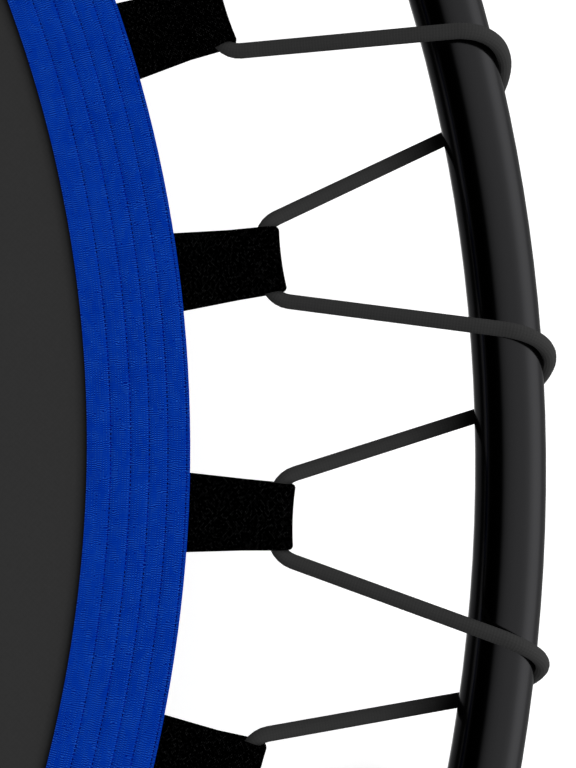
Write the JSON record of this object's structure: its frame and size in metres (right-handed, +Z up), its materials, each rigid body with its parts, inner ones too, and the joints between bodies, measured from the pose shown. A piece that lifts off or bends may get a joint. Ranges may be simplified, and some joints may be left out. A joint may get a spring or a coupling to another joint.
{
  "type": "mini trampoline",
  "caption": "Round mini trampoline: a jumping mat with a stitched edge band, hung in a tube ring by webbing loops and one laced elastic cord, on fold-in legs.",
  "frame": {"origin": "on the floor under the centre of the ring", "axes": "+Z up; +X through a gap between two webbing loops, with a frame joint at 65 degrees from it; +Y to the left of +X"},
  "size_m": [1.2606, 1.3628, 0.3379],
  "materials": {
    "gloss_black_paint": "gloss",
    "zinc_plated_steel": "satin",
    "crimped_aluminium": "satin",
    "nylon": "satin",
    "rubber": "matte",
    "mat_cloth": "matte",
    "band_cloth": "matte",
    "webbing": "matte",
    "elastic_rope": "matte"
  },
  "bodies": {
    "frame": {"frame_tube_1": "gloss_black_paint", "frame_tube_2": "gloss_black_paint", "frame_tube_3": "gloss_black_paint", "joint_sleeve_1": "zinc_plated_steel", "joint_sleeve_2": "zinc_plated_steel", "joint_sleeve_3": "zinc_plated_steel", "joint_bolts": "zinc_plated_steel", "joint_nuts": "zinc_plated_steel", "leg_bracket_1": "gloss_black_paint", "leg_bracket_2": "gloss_black_paint", "leg_bracket_3": "gloss_black_paint", "leg_bracket_4": "gloss_black_paint", "leg_bracket_5": "gloss_black_paint", "leg_bracket_6": "gloss_black_paint", "pivot_bolts": "zinc_plated_steel", "pivot_washers": "zinc_plated_steel", "pivot_nuts": "zinc_plated_steel", "elastic_cord": "elastic_rope", "cord_ferrule": "crimped_aluminium"},
    "leg_1": {"leg_knuckle_1": "nylon", "leg_tube_1": "gloss_black_paint", "leg_rivet_1": "zinc_plated_steel", "leg_foot_1": "rubber"},
    "leg_2": {"leg_knuckle_2": "nylon", "leg_tube_2": "gloss_black_paint", "leg_rivet_2": "zinc_plated_steel", "leg_foot_2": "rubber"},
    "leg_3": {"leg_knuckle_3": "nylon", "leg_tube_3": "gloss_black_paint", "leg_rivet_3": "zinc_plated_steel", "leg_foot_3": "rubber"},
    "leg_4": {"leg_knuckle_4": "nylon", "leg_tube_4": "gloss_black_paint", "leg_rivet_4": "zinc_plated_steel", "leg_foot_4": "rubber"},
    "leg_5": {"leg_knuckle_5": "nylon", "leg_tube_5": "gloss_black_paint", "leg_rivet_5": "zinc_plated_steel", "leg_foot_5": "rubber"},
    "leg_6": {"leg_knuckle_6": "nylon", "leg_tube_6": "gloss_black_paint", "leg_rivet_6": "zinc_plated_steel", "leg_foot_6": "rubber"},
    "mat_rim": {"edge_band": "band_cloth", "webbing_loops_1": "webbing", "webbing_loops_2": "webbing", "webbing_loops_3": "webbing", "webbing_loops_4": "webbing", "webbing_loops_5": "webbing", "webbing_loops_6": "webbing"},
    "mat_centre": {"jumping_mat": "mat_cloth"}
  },
  "joints": [
    {"name": "leg_1_fold", "type": "hinge", "parent": "frame", "child": "leg_1", "pos_m": [0.50173, 0.35132, 0.29], "axis": [-0.5736, 0.8192, 0], "range_deg": [0, 100]},
    {"name": "leg_2_fold", "type": "hinge", "parent": "frame", "child": "leg_2", "pos_m": [-0.05338, 0.61017, 0.29], "axis": [-0.9962, -0.0872, 0], "range_deg": [0, 100]},
    {"name": "leg_3_fold", "type": "hinge", "parent": "frame", "child": "leg_3", "pos_m": [-0.55511, 0.25885, 0.29], "axis": [-0.4226, -0.9063, 0], "range_deg": [0, 100]},
    {"name": "leg_4_fold", "type": "hinge", "parent": "frame", "child": "leg_4", "pos_m": [-0.50173, -0.35132, 0.29], "axis": [0.5736, -0.8192, 0], "range_deg": [0, 100]},
    {"name": "leg_5_fold", "type": "hinge", "parent": "frame", "child": "leg_5", "pos_m": [0.05338, -0.61017, 0.29], "axis": [0.9962, 0.0872, 0], "range_deg": [0, 100]},
    {"name": "leg_6_fold", "type": "hinge", "parent": "frame", "child": "leg_6", "pos_m": [0.55511, -0.25885, 0.29], "axis": [0.4226, 0.9063, 0], "range_deg": [0, 100]},
    {"name": "mat_bounce", "type": "slide", "parent": "frame", "child": "mat_rim", "axis": [0, 0, 1], "range_m": [-0.04, 0], "stiffness_N_per_m": 20000, "springref_m": 0.004, "deforming": ["elastic_cord"]},
    {"name": "mat_dip", "type": "slide", "parent": "mat_rim", "child": "mat_centre", "axis": [0, 0, 1], "range_m": [-0.08, 0], "stiffness_N_per_m": 2000, "springref_m": 0.01}
  ],
  "couplings": [
    {"joint": "mat_dip", "follows": "mat_bounce", "ratio": 2}
  ]
}
